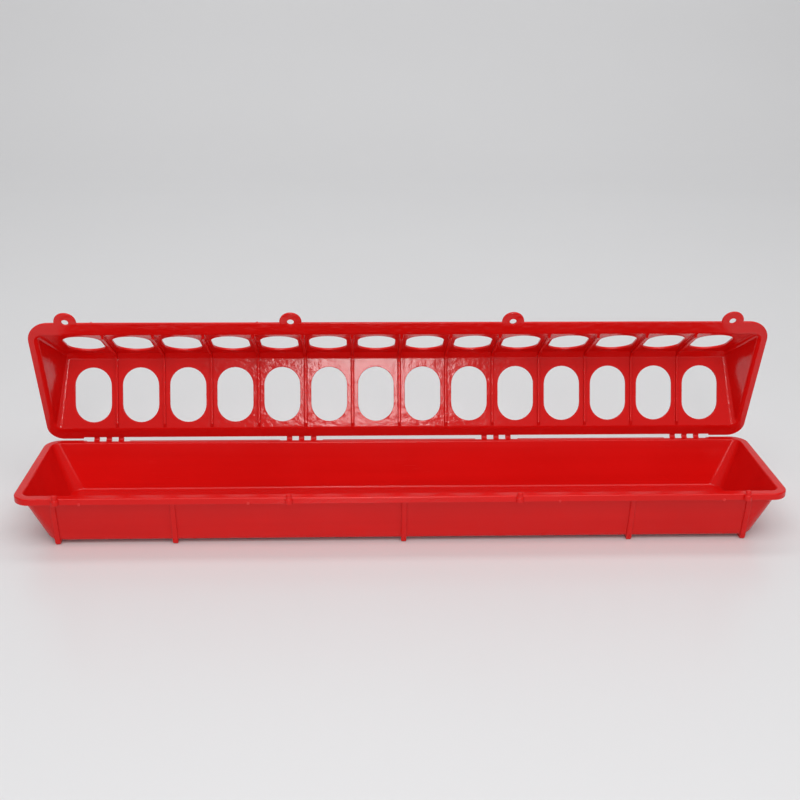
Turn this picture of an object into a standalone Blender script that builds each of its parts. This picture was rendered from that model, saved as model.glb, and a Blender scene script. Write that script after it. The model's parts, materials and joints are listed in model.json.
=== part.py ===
"""Flip-top trough feeder for chicks: a long tray and a perforated gable lid on moulded hinge straps.

Frame: +X along the trough, +Y towards the hinge, +Z up. The origin is on the surface that the
feeder stands on, under the middle of the tray. All sizes are in metres.
"""

import math

import bmesh
import bpy
from mathutils import Vector

MM = 0.001

# Overall sizes
LENGTH = 500 * MM
WIDTH = 102 * MM
RIM_HEIGHT = 37 * MM
OPEN_ANGLE = math.radians(69.5)

# Tray
TRAY_WALL = 1.8 * MM
FOOT_HEIGHT = 2.2 * MM
SIDE_RIM_WIDTH = 6 * MM
END_RIM_WIDTH = 5.5 * MM
SIDE_WALL_DRAFT = 6.7 * MM
END_WALL_DRAFT = 12.8 * MM
RIM_LIP_DROP = 4.5 * MM
RIM_LIP_WALL = 1.4 * MM
RIM_EDGE_ROUND = 0.5 * MM
TRAY_CORNER_RADIUS = 11 * MM
FLOOR_CORNER_RADIUS = 9 * MM
FLOOR_FILLET = 3.6 * MM

# Stiffening ribs that wrap under the tray and end in its feet
TRAY_RIB_WIDTH = 3.4 * MM
TRAY_RIB_PROUD = 1.5 * MM
TRAY_RIB_INNER_STATION = 149 * MM
TRAY_RIB_END_DISTANCE = 25 * MM

# Lid
LID_END_INSET = 1.5 * MM
LID_WALL = 1.6 * MM
LID_HEIGHT = 30.6 * MM
RIDGE_WIDTH = 5.4 * MM
SIDE_FLANGE_WIDTH = 9.4 * MM
END_FLANGE_WIDTH = 6 * MM
END_PANEL_LEAN = 8.7 * MM
LID_FREE_CORNER_RADIUS = 15 * MM
LID_HINGE_CORNER_RADIUS = 11 * MM
PANEL_CORNER_RADIUS = 6 * MM

# Feeding holes, one row in each sloped panel
HOLE_PITCH = 33.2 * MM
HOLE_WIDTH = 25.3 * MM
HOLE_BOTTOM_MARGIN = 4.8 * MM
HOLE_TOP_MARGIN = 6.1 * MM
HOLE_END_MARGIN = 4.5 * MM
HOLE_ROUND_STEPS = 10

# Thin ribs inside the lid, one between each pair of holes
LID_RIB_WIDTH = 1.6 * MM
LID_RIB_HEIGHT = 2.2 * MM

# Latch ears on the lid's free edge, and the tray's pegs that they drop over
EAR_COUNT = 4
EAR_END_DISTANCE = 28 * MM
EAR_RADIUS = 7.4 * MM
EAR_OVERHANG = 0.6 * MM
EAR_HOLE_RADIUS = 2.3 * MM
PEG_CLEARANCE = 0.5 * MM
PEG_STAND_OUT = 0.8 * MM
PEG_BOSS_WALL = 0.8 * MM

# Hinge
CLOSED_GAP = 0.3 * MM
END_EDGE_OFFSET = 0.4 * MM
EDGE_RELIEF = 1.3 * MM
RELIEF_MARGIN = 4 * MM
STRAP_NOTCH_DEPTH = 1.3 * MM
STRAP_INNER_STATION = 69.8 * MM
STRAP_END_DISTANCE = 43.6 * MM
STRAPS_PER_GROUP = 3
STRAP_PITCH = 8.6 * MM
STRAP_WIDTH = 4 * MM
STRAP_THICKNESS = 0.7 * MM
STRAP_NOTCH_MARGIN = 4 * MM
PIECE_GAP = 0.3 * MM

# Mesh detail
CORNER_STEPS = 7
FILLET_STEPS = 5
ROUND_STEPS = 32
STRAP_STEPS = 10
SINK = 0.5 * MM
OVERCUT = 2 * MM
SMOOTH_ANGLE = math.radians(35)

# Sizes that follow from the ones above
HALF_LENGTH = LENGTH / 2
HALF_WIDTH = WIDTH / 2
FLOOR_Z = FOOT_HEIGHT + TRAY_WALL
HINGE_Y = HALF_WIDTH + END_EDGE_OFFSET
HINGE_Z = RIM_HEIGHT + CLOSED_GAP / 2
LID_LENGTH = LENGTH - 2 * LID_END_INSET
LID_WIDTH = WIDTH
LID_CENTRE_Y = -(END_EDGE_OFFSET + LID_WIDTH / 2)
FLANGE_Z = CLOSED_GAP / 2
RIDGE_Z = FLANGE_Z + LID_HEIGHT
PANEL_FOOT = LID_WIDTH / 2 - SIDE_FLANGE_WIDTH
PANEL_RUN = PANEL_FOOT - RIDGE_WIDTH / 2
PANEL_SLOPE = math.atan2(LID_HEIGHT, PANEL_RUN)
PANEL_LENGTH = math.hypot(LID_HEIGHT, PANEL_RUN)
END_SLOPE = math.atan2(LID_HEIGHT, END_PANEL_LEAN)
RIDGE_HALF_LENGTH = LID_LENGTH / 2 - END_FLANGE_WIDTH - END_PANEL_LEAN
HOLE_LENGTH = PANEL_LENGTH - HOLE_BOTTOM_MARGIN - HOLE_TOP_MARGIN
HOLE_ROW_LENGTH = 2 * (RIDGE_HALF_LENGTH - HOLE_END_MARGIN)
HOLES_PER_ROW = 1 + math.floor((HOLE_ROW_LENGTH - HOLE_WIDTH) / HOLE_PITCH)
OUTER_STRAP_STATION = HALF_LENGTH - STRAP_END_DISTANCE
NOTCH_HALF = (STRAPS_PER_GROUP - 1) / 2 * STRAP_PITCH + STRAP_WIDTH / 2 + STRAP_NOTCH_MARGIN
RELIEF_HALF = OUTER_STRAP_STATION + NOTCH_HALF + RELIEF_MARGIN
PEG_RADIUS = EAR_HOLE_RADIUS - PEG_CLEARANCE
PEG_Y = HINGE_Y - END_EDGE_OFFSET - LID_WIDTH - EAR_OVERHANG

# Finish
RED = (0.60, 0.012, 0.010, 1.0)
MOULDING_ROUGHNESS = 0.25
STRAP_ROUGHNESS = 0.3


def clear_scene():
    """Remove every object, so that the script always starts from an empty scene."""
    for thing in list(bpy.data.objects):
        bpy.data.objects.remove(thing)


def plastic(name, roughness):
    """A glossy red polypropylene."""
    material = bpy.data.materials.new(name)
    material.use_nodes = True
    shader = material.node_tree.nodes["Principled BSDF"]
    shader.inputs["Base Color"].default_value = RED
    shader.inputs["Roughness"].default_value = roughness
    shader.inputs["Metallic"].default_value = 0.0
    return material


def new_object(name, mesh, parent=None):
    """Link a mesh to the scene as an object."""
    thing = bpy.data.objects.new(name, mesh)
    thing.parent = parent
    bpy.context.scene.collection.objects.link(thing)
    return thing


def finish_mesh(name, bm):
    """Turn a bmesh with outward faces into a mesh."""
    bmesh.ops.recalc_face_normals(bm, faces=bm.faces)
    mesh = bpy.data.meshes.new(name)
    bm.to_mesh(mesh)
    bm.free()
    return mesh


def helper(name, mesh, parent=None):
    """An operand of a Boolean, which is not a piece of the feeder."""
    thing = new_object(name, mesh, parent)
    thing.hide_render = True
    thing.display_type = "WIRE"
    return thing


def combine(target, operand, operation):
    """Add or cut an operand with a Boolean."""
    modifier = target.modifiers.new(operand.name, "BOOLEAN")
    modifier.operation = operation
    modifier.solver = "EXACT"
    modifier.object = operand


def finish_piece(thing, material):
    """Keep the Booleans' result as the piece's mesh, shade its round faces and give it its plastic."""
    evaluated = thing.evaluated_get(bpy.context.evaluated_depsgraph_get())
    mesh = bpy.data.meshes.new_from_object(evaluated)
    thing.modifiers.clear()
    thing.data = mesh
    mesh.name = thing.name
    mesh.shade_smooth()
    mesh.set_sharp_from_angle(angle=SMOOTH_ANGLE)
    mesh.materials.clear()
    mesh.materials.append(material)


def rounded_rectangle(half_x, half_y, front_radius, back_radius, z, centre_y=0.0):
    """The points of a rectangle with round corners, anticlockwise from above."""
    corners = (
        (1, -1, front_radius, -90),
        (1, 1, back_radius, 0),
        (-1, 1, back_radius, 90),
        (-1, -1, front_radius, 180),
    )
    points = []
    for side_x, side_y, radius, start in corners:
        for step in range(CORNER_STEPS + 1):
            angle = math.radians(start + 90 * step / CORNER_STEPS)
            x = side_x * (half_x - radius) + radius * math.cos(angle)
            y = side_y * (half_y - radius) + radius * math.sin(angle)
            points.append(Vector((x, centre_y + y, z)))
    return points


def shell_from_loops(name, loops):
    """A closed body from a chain of matching loops, capped at both ends."""
    bm = bmesh.new()
    rings = [[bm.verts.new(point) for point in loop] for loop in loops]
    for lower, upper in zip(rings, rings[1:]):
        for index in range(len(lower)):
            after = (index + 1) % len(lower)
            bm.faces.new((lower[index], lower[after], upper[after], upper[index]))
    bm.faces.new(rings[0])
    bm.faces.new(rings[-1])
    return finish_mesh(name, bm)


def add_prism(bm, outline, offset):
    """Add a flat outline extruded by an offset."""
    near = [bm.verts.new(point - offset / 2) for point in outline]
    far = [bm.verts.new(point + offset / 2) for point in outline]
    for index in range(len(outline)):
        after = (index + 1) % len(outline)
        bm.faces.new((near[index], near[after], far[after], far[index]))
    bm.faces.new(near)
    bm.faces.new(far)


def prisms(name, outlines, offset):
    """One mesh that holds several extruded outlines."""
    bm = bmesh.new()
    for outline in outlines:
        add_prism(bm, outline, offset)
    return finish_mesh(name, bm)


def circle(centre, radius):
    """A flat circle, seen from above."""
    turns = [2 * math.pi * step / ROUND_STEPS for step in range(ROUND_STEPS)]
    return [centre + Vector((radius * math.cos(turn), radius * math.sin(turn), 0)) for turn in turns]


def mirrored(*stations):
    """The given stations on both sides of the middle."""
    return [side * station for side in (-1, 1) for station in stations]


# Tray


def wall_half(top_half, draft, height, thickness):
    """Half the tray's width at a height, on a face that lies a thickness outside the inner one."""
    inner = top_half - draft * (RIM_HEIGHT - height) / (RIM_HEIGHT - FLOOR_Z)
    return inner + thickness / math.cos(math.atan2(draft, RIM_HEIGHT - FLOOR_Z))


def filleted_half(top_half, draft, height, thickness, foot_z, radius):
    """As wall_half, with a fillet between the wall and the floor."""
    lean = math.atan2(draft, RIM_HEIGHT - FLOOR_Z)
    rise = height - foot_z
    if rise >= radius * (1 - math.sin(lean)):
        return wall_half(top_half, draft, height, thickness)
    foot = wall_half(top_half, draft, foot_z, thickness)
    centre = foot - radius * (1 - math.sin(lean)) / math.cos(lean)
    return centre + math.sqrt(max(radius ** 2 - (radius - rise) ** 2, 0.0))


def tray_loop(height, thickness, foot_z, fillet):
    """One loop of the tray's wall."""
    side = (HALF_WIDTH - SIDE_RIM_WIDTH, SIDE_WALL_DRAFT)
    end = (HALF_LENGTH - END_RIM_WIDTH, END_WALL_DRAFT)
    half_y = filleted_half(*side, height, thickness, foot_z, fillet)
    half_x = filleted_half(*end, height, thickness, foot_z, fillet)
    share = (height - foot_z) / (RIM_HEIGHT - foot_z)
    top_radius = TRAY_CORNER_RADIUS - END_RIM_WIDTH
    radius = FLOOR_CORNER_RADIUS + share * (top_radius - FLOOR_CORNER_RADIUS) + thickness
    return rounded_rectangle(half_x, half_y, radius, radius, height)


def fillet_heights(foot_z, radius):
    """Heights up a fillet, from the floor to where it meets the side wall."""
    turn = math.pi / 2 - math.atan2(SIDE_WALL_DRAFT, RIM_HEIGHT - FLOOR_Z)
    angles = [turn * step / FILLET_STEPS for step in range(FILLET_STEPS + 1)]
    return [foot_z + radius * (1 - math.cos(angle)) for angle in angles]


def rim_loop(inset, z):
    """One loop of the tray's rim, a distance in from its edge."""
    radius = TRAY_CORNER_RADIUS - inset
    return rounded_rectangle(HALF_LENGTH - inset, HALF_WIDTH - inset, radius, radius, z)


def tray_loops():
    """The tray from the underside, out round the rim and down to the inner floor."""
    inner_fillet = FLOOR_FILLET - TRAY_WALL
    under_rim = RIM_HEIGHT - TRAY_WALL
    outer_heights = fillet_heights(FOOT_HEIGHT, FLOOR_FILLET) + [under_rim]
    inner_heights = [RIM_HEIGHT] + fillet_heights(FLOOR_Z, inner_fillet)[::-1]
    lip_z = RIM_HEIGHT - RIM_LIP_DROP
    outside = [tray_loop(z, TRAY_WALL, FOOT_HEIGHT, FLOOR_FILLET) for z in outer_heights]
    rim = [
        rim_loop(RIM_LIP_WALL, under_rim),
        rim_loop(RIM_LIP_WALL, lip_z),
        rim_loop(0, lip_z),
        rim_loop(0, RIM_HEIGHT - RIM_EDGE_ROUND),
        rim_loop(RIM_EDGE_ROUND, RIM_HEIGHT),
    ]
    inside = [tray_loop(z, 0.0, FLOOR_Z, inner_fillet) for z in inner_heights]
    return outside + rim + inside


def side_face_y(z):
    """The outer face of the tray's side wall at a height."""
    return wall_half(HALF_WIDTH - SIDE_RIM_WIDTH, SIDE_WALL_DRAFT, z, TRAY_WALL)


def tray_rib_outline(x):
    """A U-shaped rib: down the front wall, under the floor and up the back wall."""
    top_z = RIM_HEIGHT - TRAY_WALL + SINK
    toe = TRAY_RIB_PROUD
    right = [
        Vector((x, side_face_y(top_z) + TRAY_RIB_PROUD, top_z)),
        Vector((x, side_face_y(toe) + TRAY_RIB_PROUD, toe)),
        Vector((x, side_face_y(0) + TRAY_RIB_PROUD - toe, 0)),
    ]
    inner = [
        Vector((x, side_face_y(FLOOR_Z) - FLOOR_FILLET, FOOT_HEIGHT + SINK)),
        Vector((x, side_face_y(FLOOR_Z + FLOOR_FILLET) - SINK, FOOT_HEIGHT + FLOOR_FILLET + SINK)),
        Vector((x, side_face_y(top_z) - SINK, top_z)),
    ]
    left = [Vector((x, -point.y, point.z)) for point in right]
    inner_left = [Vector((x, -point.y, point.z)) for point in inner]
    return right + left[::-1] + inner_left[::-1] + inner


def tray_rib_stations():
    """Where the ribs stand along the tray: one in the middle, the rest in mirrored pairs."""
    return [0.0] + mirrored(TRAY_RIB_INNER_STATION, HALF_LENGTH - TRAY_RIB_END_DISTANCE)


def add_tray_ribs(tray):
    """Join the stiffening ribs and their feet to the tray."""
    outlines = [tray_rib_outline(x) for x in tray_rib_stations()]
    mesh = prisms("tray_ribs", outlines, Vector((TRAY_RIB_WIDTH, 0, 0)))
    combine(tray, helper("tray_ribs", mesh), "UNION")


def cylinder_stack(bm, centre, radius, low_z, high_z):
    """Add an upright cylinder."""
    middle = Vector((centre.x, centre.y, (low_z + high_z) / 2))
    add_prism(bm, circle(middle, radius), Vector((0, 0, high_z - low_z)))


def ear_stations():
    """Where the latch ears and their pegs stand, evenly along the front."""
    outer = HALF_LENGTH - EAR_END_DISTANCE
    return [outer * (2 * index / (EAR_COUNT - 1) - 1) for index in range(EAR_COUNT)]


def add_latch_pegs(tray):
    """Join a boss and a peg to the front of the rim at each latch ear."""
    for label, radius, low_z, high_z in (
        ("latch_bosses", PEG_RADIUS + PEG_BOSS_WALL, RIM_HEIGHT - RIM_LIP_DROP + SINK, RIM_HEIGHT - SINK),
        ("latch_pegs", PEG_RADIUS, RIM_HEIGHT - RIM_LIP_DROP + 2 * SINK, peg_top_z()),
    ):
        bm = bmesh.new()
        for x in ear_stations():
            cylinder_stack(bm, Vector((x, PEG_Y, 0)), radius, low_z, high_z)
        combine(tray, helper(label, finish_mesh(label, bm)), "UNION")


def peg_top_z():
    """The pegs stand a little above the closed lid's flange."""
    return RIM_HEIGHT + CLOSED_GAP + LID_WALL + PEG_STAND_OUT


def strap_group_stations():
    """The middle of each group of hinge straps."""
    return mirrored(STRAP_INNER_STATION, OUTER_STRAP_STATION)


def relief_outline(edge_y, outward, z, depth=EDGE_RELIEF):
    """A long relief along a hinge edge, seen from above."""
    inner = edge_y - outward * depth
    outer = edge_y + outward * OVERCUT
    ramp = EDGE_RELIEF
    return [
        Vector((-RELIEF_HALF - ramp, outer, z)),
        Vector((-RELIEF_HALF + ramp, inner, z)),
        Vector((RELIEF_HALF - ramp, inner, z)),
        Vector((RELIEF_HALF + ramp, outer, z)),
    ]


def notch_outline(x, z):
    """A strap group's notch in the tray's rim, seen from above."""
    outer = HALF_WIDTH - EDGE_RELIEF + SINK
    inner = HALF_WIDTH - EDGE_RELIEF - STRAP_NOTCH_DEPTH
    return [
        Vector((x - NOTCH_HALF - STRAP_NOTCH_DEPTH, outer, z)),
        Vector((x - NOTCH_HALF, inner, z)),
        Vector((x + NOTCH_HALF, inner, z)),
        Vector((x + NOTCH_HALF + STRAP_NOTCH_DEPTH, outer, z)),
    ]


def cut_tray_hinge_edge(tray):
    """Relieve the back rim between its ends, stop its lip there, and notch it at each group of straps."""
    height = Vector((0, 0, 2 * (RIM_LIP_DROP + OVERCUT)))
    relief = prisms("tray_edge_relief", [relief_outline(HALF_WIDTH, 1, RIM_HEIGHT)], height)
    combine(tray, helper("tray_edge_relief", relief), "DIFFERENCE")
    lip_height = RIM_LIP_DROP - TRAY_WALL + OVERCUT
    lip_z = RIM_HEIGHT - TRAY_WALL - lip_height / 2
    lip_outline = relief_outline(HALF_WIDTH, 1, lip_z, RIM_LIP_WALL + SINK)
    lip = prisms("tray_lip_relief", [lip_outline], Vector((0, 0, lip_height)))
    combine(tray, helper("tray_lip_relief", lip), "DIFFERENCE")
    outlines = [notch_outline(x, RIM_HEIGHT) for x in strap_group_stations()]
    notches = prisms("strap_notches", outlines, height)
    combine(tray, helper("strap_notches", notches), "DIFFERENCE")


def build_tray():
    """The open trough with its rim, ribs, feet and latch pegs."""
    tray = new_object("tray", shell_from_loops("tray", tray_loops()))
    add_tray_ribs(tray)
    add_latch_pegs(tray)
    cut_tray_hinge_edge(tray)
    finish_piece(tray, plastic("tray_plastic", MOULDING_ROUGHNESS))


# Lid, in the closed position about the hinge axis


def lid_loop(half_x, half_y, front_radius, back_radius, z):
    """One loop of the lid, centred on the closed lid."""
    return rounded_rectangle(half_x, half_y, front_radius, back_radius, z, LID_CENTRE_Y)


def lid_loops():
    """The lid from the inner ridge, out round the flange and up to the outer ridge."""
    foot_x = LID_LENGTH / 2 - END_FLANGE_WIDTH
    ridge_x = RIDGE_HALF_LENGTH
    ridge_y = RIDGE_WIDTH / 2
    grow_x = LID_WALL * math.tan(END_SLOPE / 2)
    grow_y = LID_WALL * math.tan(PANEL_SLOPE / 2)
    ridge_radius = RIDGE_WIDTH / 3
    foot_radius = PANEL_CORNER_RADIUS
    flange = (LID_LENGTH / 2, LID_WIDTH / 2, LID_FREE_CORNER_RADIUS, LID_HINGE_CORNER_RADIUS)
    outer_foot_radius = foot_radius + grow_y
    top_z = FLANGE_Z + LID_WALL
    outer_ridge = (ridge_x + grow_x, ridge_y + grow_y, ridge_radius, ridge_radius)
    return [
        lid_loop(ridge_x, ridge_y, ridge_radius, ridge_radius, RIDGE_Z),
        lid_loop(foot_x, PANEL_FOOT, foot_radius, foot_radius, FLANGE_Z),
        lid_loop(*flange, FLANGE_Z),
        lid_loop(*flange, top_z),
        lid_loop(foot_x + grow_x, PANEL_FOOT + grow_y, outer_foot_radius, outer_foot_radius, top_z),
        lid_loop(*outer_ridge, RIDGE_Z + LID_WALL),
    ]


def obround(centre, along, half_width, half_length):
    """An upright slot with round ends, in the plane of X and a direction."""
    straight = half_length - half_width
    points = []
    for end, start in ((1, 0), (-1, 180)):
        for step in range(HOLE_ROUND_STEPS + 1):
            angle = math.radians(start + 180 * step / HOLE_ROUND_STEPS)
            across = half_width * math.cos(angle)
            up = end * straight + half_width * math.sin(angle)
            points.append(centre + Vector((across, 0, 0)) + along * up)
    return points


def hole_stations():
    """Where the holes stand along each row."""
    first = -(HOLES_PER_ROW - 1) / 2 * HOLE_PITCH
    return [first + index * HOLE_PITCH for index in range(HOLES_PER_ROW)]


def cut_feeding_holes(lid):
    """Cut one row of upright slots square through each sloped panel."""
    reach = HOLE_BOTTOM_MARGIN + HOLE_LENGTH / 2
    for label, side in (("hinge_row", 1), ("free_row", -1)):
        along = Vector((0, -side * math.cos(PANEL_SLOPE), math.sin(PANEL_SLOPE)))
        normal = Vector((0, side * math.sin(PANEL_SLOPE), math.cos(PANEL_SLOPE)))
        foot = Vector((0, LID_CENTRE_Y + side * PANEL_FOOT, FLANGE_Z))
        middle = foot + along * reach + normal * LID_WALL / 2
        outlines = []
        for x in hole_stations():
            centre = middle + Vector((x, 0, 0))
            outlines.append(obround(centre, along, HOLE_WIDTH / 2, HOLE_LENGTH / 2))
        name = label + "_cutters"
        cutters = prisms(name, outlines, normal * (LID_WALL + 2 * OVERCUT))
        combine(lid, helper(name, cutters, lid.parent), "DIFFERENCE")


def panel_line_y(z, inward):
    """How far from the lid's middle a line parallel to a panel's inner face lies at a height."""
    return PANEL_FOOT - (z - FLANGE_Z) / math.tan(PANEL_SLOPE) - inward / math.sin(PANEL_SLOPE)


def lid_rib_outline(x):
    """A thin rib that follows the inside of both panels and the ridge."""
    low_z = FLANGE_Z + SINK
    sunk = LID_WALL / 2
    outer_top = RIDGE_Z + sunk
    inner_top = RIDGE_Z - LID_RIB_HEIGHT
    half = [
        (panel_line_y(low_z, -sunk), low_z),
        (panel_line_y(outer_top, -sunk), outer_top),
    ]
    inner = [
        (panel_line_y(inner_top, LID_RIB_HEIGHT), inner_top),
        (panel_line_y(low_z, LID_RIB_HEIGHT), low_z),
    ]
    profile = half + [(-y, z) for y, z in half[::-1]] + [(-y, z) for y, z in inner[::-1]] + inner
    return [Vector((x, LID_CENTRE_Y + y, z)) for y, z in profile]


def add_lid_ribs(lid):
    """Join a thin rib between each pair of holes."""
    stations = [x + HOLE_PITCH / 2 for x in hole_stations()[:-1]]
    mesh = prisms("lid_ribs", [lid_rib_outline(x) for x in stations], Vector((LID_RIB_WIDTH, 0, 0)))
    combine(lid, helper("lid_ribs", mesh, lid.parent), "UNION")


def ear_centre(x, z):
    """The middle of a latch ear."""
    return Vector((x, -(END_EDGE_OFFSET + LID_WIDTH + EAR_OVERHANG), z))


def add_latch_ears(lid):
    """Join a round ear with a hole at each latch peg."""
    middle_z = FLANGE_Z + LID_WALL / 2
    discs = [circle(ear_centre(x, middle_z), EAR_RADIUS) for x in ear_stations()]
    ears = prisms("latch_ears", discs, Vector((0, 0, LID_WALL)))
    combine(lid, helper("latch_ears", ears, lid.parent), "UNION")
    bores = [circle(ear_centre(x, middle_z), EAR_HOLE_RADIUS) for x in ear_stations()]
    holes = prisms("ear_holes", bores, Vector((0, 0, LID_WALL + 2 * OVERCUT)))
    combine(lid, helper("ear_holes", holes, lid.parent), "DIFFERENCE")


def cut_lid_hinge_edge(lid):
    """Relieve the hinge edge of the flange as the tray's rim is relieved."""
    outline = relief_outline(-END_EDGE_OFFSET, 1, FLANGE_Z + LID_WALL / 2)
    relief = prisms("lid_edge_relief", [outline], Vector((0, 0, LID_WALL + 2 * OVERCUT)))
    combine(lid, helper("lid_edge_relief", relief, lid.parent), "DIFFERENCE")


def hinge_pivot():
    """An empty on the hinge axis, turned to the open position."""
    pivot = new_object("lid_pivot", None)
    pivot.location = (0, HINGE_Y, HINGE_Z)
    pivot.rotation_euler = (-OPEN_ANGLE, 0, 0)
    return pivot


def build_lid(pivot):
    """The gable lid with its flange, feeding holes, thin ribs and latch ears."""
    lid = new_object("lid", shell_from_loops("lid", lid_loops()), pivot)
    add_lid_ribs(lid)
    cut_feeding_holes(lid)
    add_latch_ears(lid)
    cut_lid_hinge_edge(lid)
    finish_piece(lid, plastic("lid_plastic", MOULDING_ROUGHNESS))


# Hinge straps


def strap_path():
    """The middle line of a strap at rest, from the tray's notch round to the lid's flange."""
    start = Vector((0, HALF_WIDTH - EDGE_RELIEF - STRAP_NOTCH_DEPTH + PIECE_GAP, RIM_HEIGHT - TRAY_WALL / 2))
    into_lid = Vector((0, -math.cos(OPEN_ANGLE), math.sin(OPEN_ANGLE)))
    square_to_lid = Vector((0, math.sin(OPEN_ANGLE), math.cos(OPEN_ANGLE)))
    axis = Vector((0, HINGE_Y, HINGE_Z))
    along = END_EDGE_OFFSET + EDGE_RELIEF - PIECE_GAP
    end = axis + into_lid * along + square_to_lid * (FLANGE_Z + LID_WALL / 2)
    pull = (end - start).length / 2
    controls = (start, start + Vector((0, pull, 0)), end - into_lid * pull, end)
    points = []
    for step in range(STRAP_STEPS + 1):
        share = step / STRAP_STEPS
        rest = 1 - share
        weights = (rest ** 3, 3 * rest ** 2 * share, 3 * rest * share ** 2, share ** 3)
        points.append(sum((control * weight for control, weight in zip(controls, weights)), Vector()))
    return points


def strap_outline(x):
    """A strap seen from its end: the middle line with half the thickness on each side."""
    path = strap_path()
    outer = []
    inner = []
    for index, point in enumerate(path):
        before = path[max(index - 1, 0)]
        after = path[min(index + 1, len(path) - 1)]
        heading = (after - before).normalized()
        side = Vector((0, heading.z, -heading.y)) * STRAP_THICKNESS / 2
        outer.append(point + side + Vector((x, 0, 0)))
        inner.append(point - side + Vector((x, 0, 0)))
    return outer + inner[::-1]


def strap_stations():
    """The middle of each strap along the hinge."""
    first = -(STRAPS_PER_GROUP - 1) / 2 * STRAP_PITCH
    offsets = [first + index * STRAP_PITCH for index in range(STRAPS_PER_GROUP)]
    return sorted(group + offset for group in strap_group_stations() for offset in offsets)


def build_straps():
    """The flexible straps that join the two mouldings."""
    material = plastic("strap_plastic", STRAP_ROUGHNESS)
    for number, x in enumerate(strap_stations(), start=1):
        name = "hinge_strap_%02d" % number
        mesh = prisms(name, [strap_outline(x)], Vector((STRAP_WIDTH, 0, 0)))
        finish_piece(new_object(name, mesh), material)


def build_feeder():
    """Build every piece of the feeder."""
    clear_scene()
    build_tray()
    build_lid(hinge_pivot())
    build_straps()


build_feeder()
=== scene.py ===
"""Looks of a flip-top trough feeder: a red moulded tray, a perforated gable lid and its hinge straps.

Frame: +X along the trough, +Y towards the hinge, +Z up, in metres. The lid's pieces are built as
if the lid were shut, about the hinge axis, and are then turned to the open rest position.
"""

import json
import logging
import math
from dataclasses import dataclass, field
from enum import Enum
from typing import Callable, Sequence

import bmesh
import bpy
from mathutils import Matrix, Vector


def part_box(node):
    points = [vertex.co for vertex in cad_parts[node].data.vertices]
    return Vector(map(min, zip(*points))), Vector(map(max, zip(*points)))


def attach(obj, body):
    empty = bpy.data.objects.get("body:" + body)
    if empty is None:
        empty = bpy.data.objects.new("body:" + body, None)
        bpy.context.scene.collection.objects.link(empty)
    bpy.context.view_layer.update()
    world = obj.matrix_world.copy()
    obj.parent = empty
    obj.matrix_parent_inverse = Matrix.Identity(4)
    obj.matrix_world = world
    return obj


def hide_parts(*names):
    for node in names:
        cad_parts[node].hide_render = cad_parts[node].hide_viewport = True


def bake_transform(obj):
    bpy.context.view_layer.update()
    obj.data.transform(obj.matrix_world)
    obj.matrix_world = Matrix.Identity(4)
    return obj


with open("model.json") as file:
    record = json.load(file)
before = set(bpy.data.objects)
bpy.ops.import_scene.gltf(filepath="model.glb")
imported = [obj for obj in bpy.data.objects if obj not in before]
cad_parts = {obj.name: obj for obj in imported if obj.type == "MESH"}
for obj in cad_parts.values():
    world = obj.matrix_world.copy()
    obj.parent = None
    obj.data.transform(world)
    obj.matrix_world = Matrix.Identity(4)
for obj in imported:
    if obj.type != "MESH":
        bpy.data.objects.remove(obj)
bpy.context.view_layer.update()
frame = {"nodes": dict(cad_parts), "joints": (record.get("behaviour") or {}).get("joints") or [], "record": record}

MM = 0.001
LIP_TURN = math.radians(70)
SHARP_ANGLE = math.radians(38)
LEAST_RADIUS = 0.2 * MM
CUTTER_CLEARANCE = 0.4 * MM
TRAY_WALL = 1.8 * MM
LID_WALL = 1.6 * MM
AXIS_GAP = 0.15 * MM  # from the hinge axis down to the tray's rim, and up to the shut lid's flange
AXIS_INSET = 0.4 * MM  # from the hinge axis to the edge of the shut lid's flange
CORNER_STEPS = 14
FILLET_STEPS = 5
LATCHES = 4
LATCH_END_DISTANCE = 28 * MM
MIDDLE_STRAPS = (8, 11)  # numbers of the middle straps of the inner and the outer group, at +X
LOG = logging.getLogger("feeder")


class Body(Enum):
    """The two bodies that the joint joins."""

    TRAY = "tray"
    LID = "lid"


class Operation(Enum):
    """How one solid acts on another."""

    JOIN = "UNION"
    CUT = "DIFFERENCE"


# Node graphs


class Wire:
    """A node's output socket that takes part in Python arithmetic."""

    def __init__(self, graph: "Graph", socket: bpy.types.NodeSocket) -> None:
        """Keep the socket and the graph that it belongs to."""
        self.graph = graph
        self.socket = socket

    def _maths(self, operation: str, first: "Wire | float", second: "Wire | float") -> "Wire":
        """Add a Math node.

        Args:
            operation: the Math node's operation.
            first: its first value.
            second: its second value.

        Returns:
            The node's result.
        """
        return self.graph.add("ShaderNodeMath", {0: first, 1: second}, operation=operation)

    def __add__(self, other: "Wire | float") -> "Wire":
        """Sum."""
        return self._maths("ADD", self, other)

    def __radd__(self, other: float) -> "Wire":
        """Sum, with the number first."""
        return self._maths("ADD", other, self)

    def __sub__(self, other: "Wire | float") -> "Wire":
        """Difference."""
        return self._maths("SUBTRACT", self, other)

    def __rsub__(self, other: float) -> "Wire":
        """Difference, with the number first."""
        return self._maths("SUBTRACT", other, self)

    def __mul__(self, other: "Wire | float") -> "Wire":
        """Product."""
        return self._maths("MULTIPLY", self, other)

    def __rmul__(self, other: float) -> "Wire":
        """Product, with the number first."""
        return self._maths("MULTIPLY", other, self)


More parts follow.
